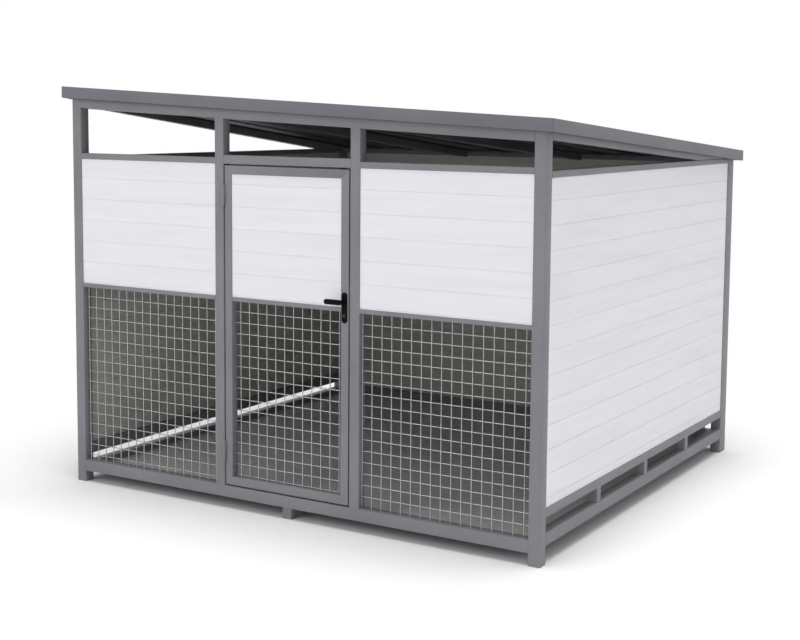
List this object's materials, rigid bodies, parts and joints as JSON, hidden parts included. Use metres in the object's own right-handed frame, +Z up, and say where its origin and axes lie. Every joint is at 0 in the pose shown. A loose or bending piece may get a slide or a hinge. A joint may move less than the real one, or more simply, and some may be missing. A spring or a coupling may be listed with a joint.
{
  "type": "dog house",
  "caption": "Walk-in dog kennel: tube frame with board walls, a wire mesh front, a hinged door with a lever lock and a lean-to roof.",
  "frame": {"origin": "on the ground under the middle of the overall box", "axes": "X along the front from left to right, Y from the front to the rear, Z up"},
  "size_m": [2.66, 2.4724, 1.974],
  "materials": {
    "frame_paint": "satin grey paint on square steel tube",
    "roof_paint": "satin grey painted sheet",
    "white_boards": "satin white paint on tongue-and-groove boards",
    "galvanised_wire": "galvanised welded wire",
    "floor_coating": "matt grey film-faced plywood",
    "black_handle": "satin black powder coat",
    "bare_steel": "satin bright zinc-plated steel"
  },
  "bodies": {
    "frame": {"corner_post_front_left": "frame_paint", "corner_post_rear_left": "frame_paint", "corner_post_front_right": "frame_paint", "corner_post_rear_right": "frame_paint", "door_post_left": "frame_paint", "door_post_right": "frame_paint", "bottom_rail_front": "frame_paint", "bottom_rail_rear": "frame_paint", "bottom_rail_left": "frame_paint", "bottom_rail_right": "frame_paint", "low_rail_left": "frame_paint", "low_rail_right": "frame_paint", "top_rail_left": "frame_paint", "top_rail_right": "frame_paint", "top_rail_rear": "frame_paint", "transom_left": "frame_paint", "mid_rail_left": "frame_paint", "transom_right": "frame_paint", "mid_rail_right": "frame_paint", "door_head": "frame_paint", "front_beam": "frame_paint", "rafter_left": "frame_paint", "inner_rafter_left": "frame_paint", "rafter_right": "frame_paint", "inner_rafter_right": "frame_paint", "roof_panel": "roof_paint", "fascia_front": "roof_paint", "fascia_right": "roof_paint", "fascia_rear": "roof_paint", "fascia_left": "roof_paint", "boards_front_left": "white_boards", "boards_left": "white_boards", "boards_front_right": "white_boards", "boards_right": "white_boards", "boards_rear": "white_boards", "floor_panel": "floor_coating", "wire_mesh_left": "galvanised_wire", "wire_mesh_right": "galvanised_wire", "hinge_pin_barrel_lower": "frame_paint", "hinge_pin_barrel_upper": "frame_paint", "strike_plate": "bare_steel"},
    "door": {"door_top_rail": "frame_paint", "door_bottom_rail": "frame_paint", "door_mid_rail": "frame_paint", "door_hinge_stile": "frame_paint", "door_lock_stile": "frame_paint", "door_boards": "white_boards", "door_wire_mesh": "galvanised_wire", "hinge_door_barrel_lower": "frame_paint", "hinge_door_barrel_upper": "frame_paint", "lock_case": "bare_steel", "backplate_outer": "black_handle", "backplate_inner": "black_handle"},
    "lever": {"lever_outer": "black_handle", "lever_inner": "black_handle"},
    "latch": {"latch_bolt": "bare_steel"},
    "key": {"key_plug": "bare_steel"},
    "dead_bolt": {"dead_bolt": "bare_steel"}
  },
  "joints": [
    {"name": "door_swing", "type": "hinge", "parent": "frame", "child": "door", "pos_m": [-0.3465, -1.19535, 0.865], "axis": [0, 0, -1], "range_deg": [0, 120]},
    {"name": "lever_turn", "type": "hinge", "parent": "door", "child": "lever", "pos_m": [0.323, -1.16885, 1.033], "axis": [0, -1, 0], "range_deg": [0, 35], "stiffness_Nm_per_rad": 1.5},
    {"name": "latch_slide", "type": "slide", "parent": "door", "child": "latch", "axis": [-1, 0, 0], "range_m": [0, 0.0135]},
    {"name": "key_turn", "type": "hinge", "parent": "door", "child": "key", "pos_m": [0.323, -1.16885, 0.97], "axis": [0, 1, 0], "range_deg": [0, 92]},
    {"name": "dead_bolt_slide", "type": "slide", "parent": "door", "child": "dead_bolt", "axis": [1, 0, 0], "range_m": [0, 0.014]}
  ],
  "couplings": [
    {"joint": "latch_slide", "follows": "lever_turn", "m_per_rad": 0.02128},
    {"joint": "key_turn", "follows": "dead_bolt_slide", "rad_per_m": 112.2}
  ]
}
